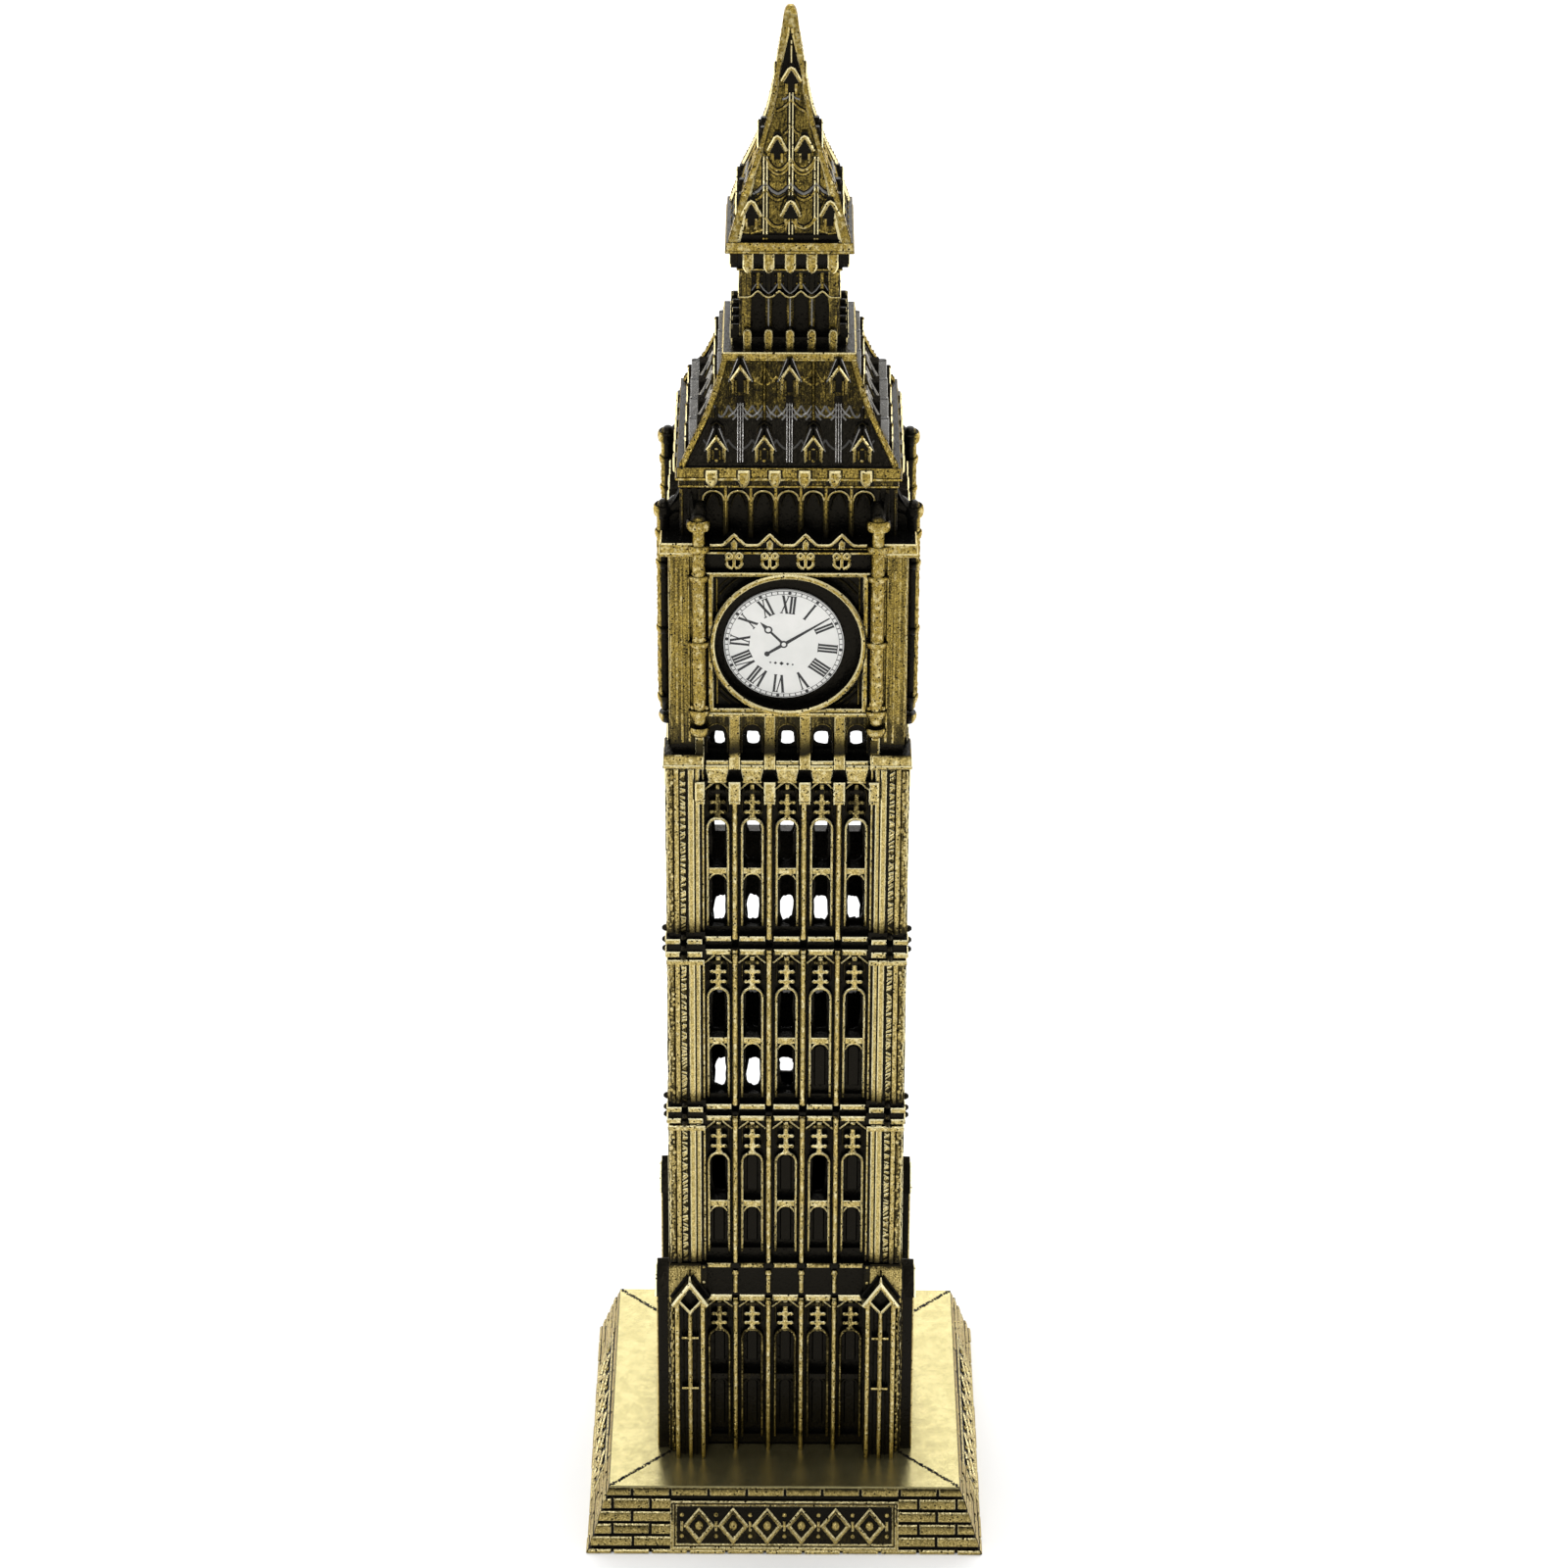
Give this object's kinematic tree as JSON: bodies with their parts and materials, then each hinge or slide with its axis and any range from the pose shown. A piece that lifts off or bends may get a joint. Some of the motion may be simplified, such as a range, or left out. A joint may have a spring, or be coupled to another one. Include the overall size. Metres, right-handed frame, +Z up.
{
  "type": "clock tower souvenir model",
  "caption": "Antique-brass die-cast miniature gothic clock tower with printed dials, a stepped roof and spire, on a square brick-pattern base.",
  "frame": {"origin": "centre of the underside, on the surface the tower stands on", "axes": "+Z up along the tower, -Y out of the front dial, +X to the right of someone facing the front dial"},
  "size_m": [0.0458, 0.0458, 0.18],
  "materials": {
    "antique_brass": "antique brass plating on cast zinc, blackened in the recesses and rubbed bright on the raised edges",
    "dial_print": "white printed disc with black numerals, minute track and hands",
    "pad_felt": "thin black felt pad"
  },
  "bodies": {
    "root": {"front_casting": "antique_brass", "right_casting": "antique_brass", "rear_casting": "antique_brass", "left_casting": "antique_brass", "front_dial": "dial_print", "right_dial": "dial_print", "rear_dial": "dial_print", "left_dial": "dial_print", "base_pad": "pad_felt"}
  },
  "joints": []
}
